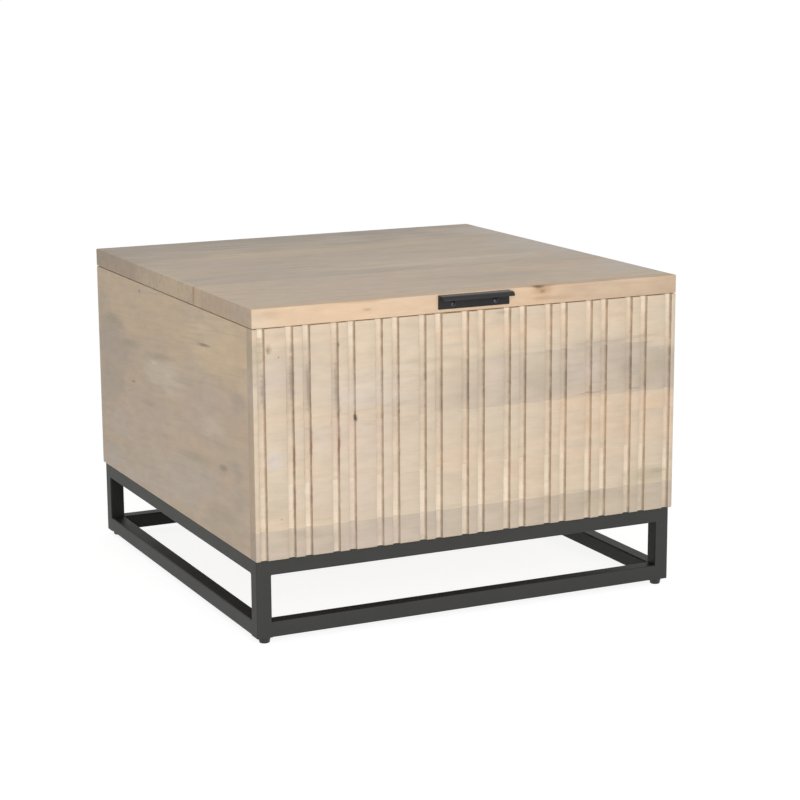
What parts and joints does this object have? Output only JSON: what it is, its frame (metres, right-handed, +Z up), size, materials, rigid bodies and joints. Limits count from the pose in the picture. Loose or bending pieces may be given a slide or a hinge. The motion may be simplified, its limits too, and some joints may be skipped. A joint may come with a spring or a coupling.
{
  "type": "storage coffee table",
  "caption": "Square wooden chest table with a vertically grooved front and a hinged lid with an edge pull, on a low black frame of square steel tube with levelling feet.",
  "frame": {"origin": "on the floor, under the middle of the table", "axes": "+X to the right along the grooved front, -Y out of the front, +Z up"},
  "size_m": [0.6, 0.6279, 0.423],
  "materials": {
    "mango_wood": "pale limed mango, matte lacquer",
    "plywood": "raw birch plywood",
    "dowel_wood": "fluted beech, raw",
    "frame_steel": "charcoal powder coat, satin",
    "pull_steel": "black powder coat, satin",
    "black_screws": "black oxide",
    "hinge_steel": "zinc plated, satin",
    "zinc_screws": "zinc plated",
    "bumper_rubber": "soft, translucent grey",
    "foot_plastic": "moulded, black"
  },
  "bodies": {
    "chest": {"front_board_1": "mango_wood", "front_board_2": "mango_wood", "front_board_3": "mango_wood", "front_board_4": "mango_wood", "front_board_5": "mango_wood", "left_board_1": "mango_wood", "left_board_2": "mango_wood", "left_board_3": "mango_wood", "right_board_1": "mango_wood", "right_board_2": "mango_wood", "right_board_3": "mango_wood", "back_board_1": "mango_wood", "back_board_2": "mango_wood", "back_board_3": "mango_wood", "bottom_panel": "plywood", "corner_dowels": "dowel_wood", "frame_leg_front_left": "frame_steel", "frame_leg_front_right": "frame_steel", "frame_leg_back_left": "frame_steel", "frame_leg_back_right": "frame_steel", "frame_top_rail_front": "frame_steel", "frame_top_rail_back": "frame_steel", "frame_top_rail_left": "frame_steel", "frame_top_rail_right": "frame_steel", "frame_bottom_rail_front": "frame_steel", "frame_bottom_rail_back": "frame_steel", "frame_bottom_rail_left": "frame_steel", "frame_bottom_rail_right": "frame_steel", "frame_tabs": "frame_steel", "hinge_left_box_leaf": "hinge_steel", "hinge_left_pin": "hinge_steel", "hinge_right_box_leaf": "hinge_steel", "hinge_right_pin": "hinge_steel", "hinge_box_screws": "zinc_screws", "bottom_screws": "zinc_screws", "frame_screws": "zinc_screws", "lid_bumpers": "bumper_rubber", "foot_inserts": "foot_plastic"},
    "lid": {"lid_board_1": "mango_wood", "lid_board_2": "mango_wood", "lid_board_3": "mango_wood", "lid_board_4": "mango_wood", "lid_board_5": "mango_wood", "lid_board_6": "mango_wood", "lid_pull": "pull_steel", "lid_pull_screws": "black_screws", "hinge_left_lid_leaf": "hinge_steel", "hinge_right_lid_leaf": "hinge_steel", "hinge_lid_screws": "zinc_screws"},
    "foot_front_left": {"foot_pad_front_left": "foot_plastic", "foot_stud_front_left": "zinc_screws"},
    "foot_front_right": {"foot_pad_front_right": "foot_plastic", "foot_stud_front_right": "zinc_screws"},
    "foot_back_left": {"foot_pad_back_left": "foot_plastic", "foot_stud_back_left": "zinc_screws"},
    "foot_back_right": {"foot_pad_back_right": "foot_plastic", "foot_stud_back_right": "zinc_screws"}
  },
  "joints": [
    {"name": "lid_hinge", "type": "hinge", "parent": "chest", "child": "lid", "pos_m": [0, 0.3052, 0.3985], "axis": [-1, 0, 0], "range_deg": [0, 100]},
    {"name": "foot_front_left_screw", "type": "slide", "parent": "chest", "child": "foot_front_left", "axis": [0, 0, -1], "range_m": [0, 0.01]},
    {"name": "foot_front_right_screw", "type": "slide", "parent": "chest", "child": "foot_front_right", "axis": [0, 0, -1], "range_m": [0, 0.01]},
    {"name": "foot_back_left_screw", "type": "slide", "parent": "chest", "child": "foot_back_left", "axis": [0, 0, -1], "range_m": [0, 0.01]},
    {"name": "foot_back_right_screw", "type": "slide", "parent": "chest", "child": "foot_back_right", "axis": [0, 0, -1], "range_m": [0, 0.01]}
  ]
}
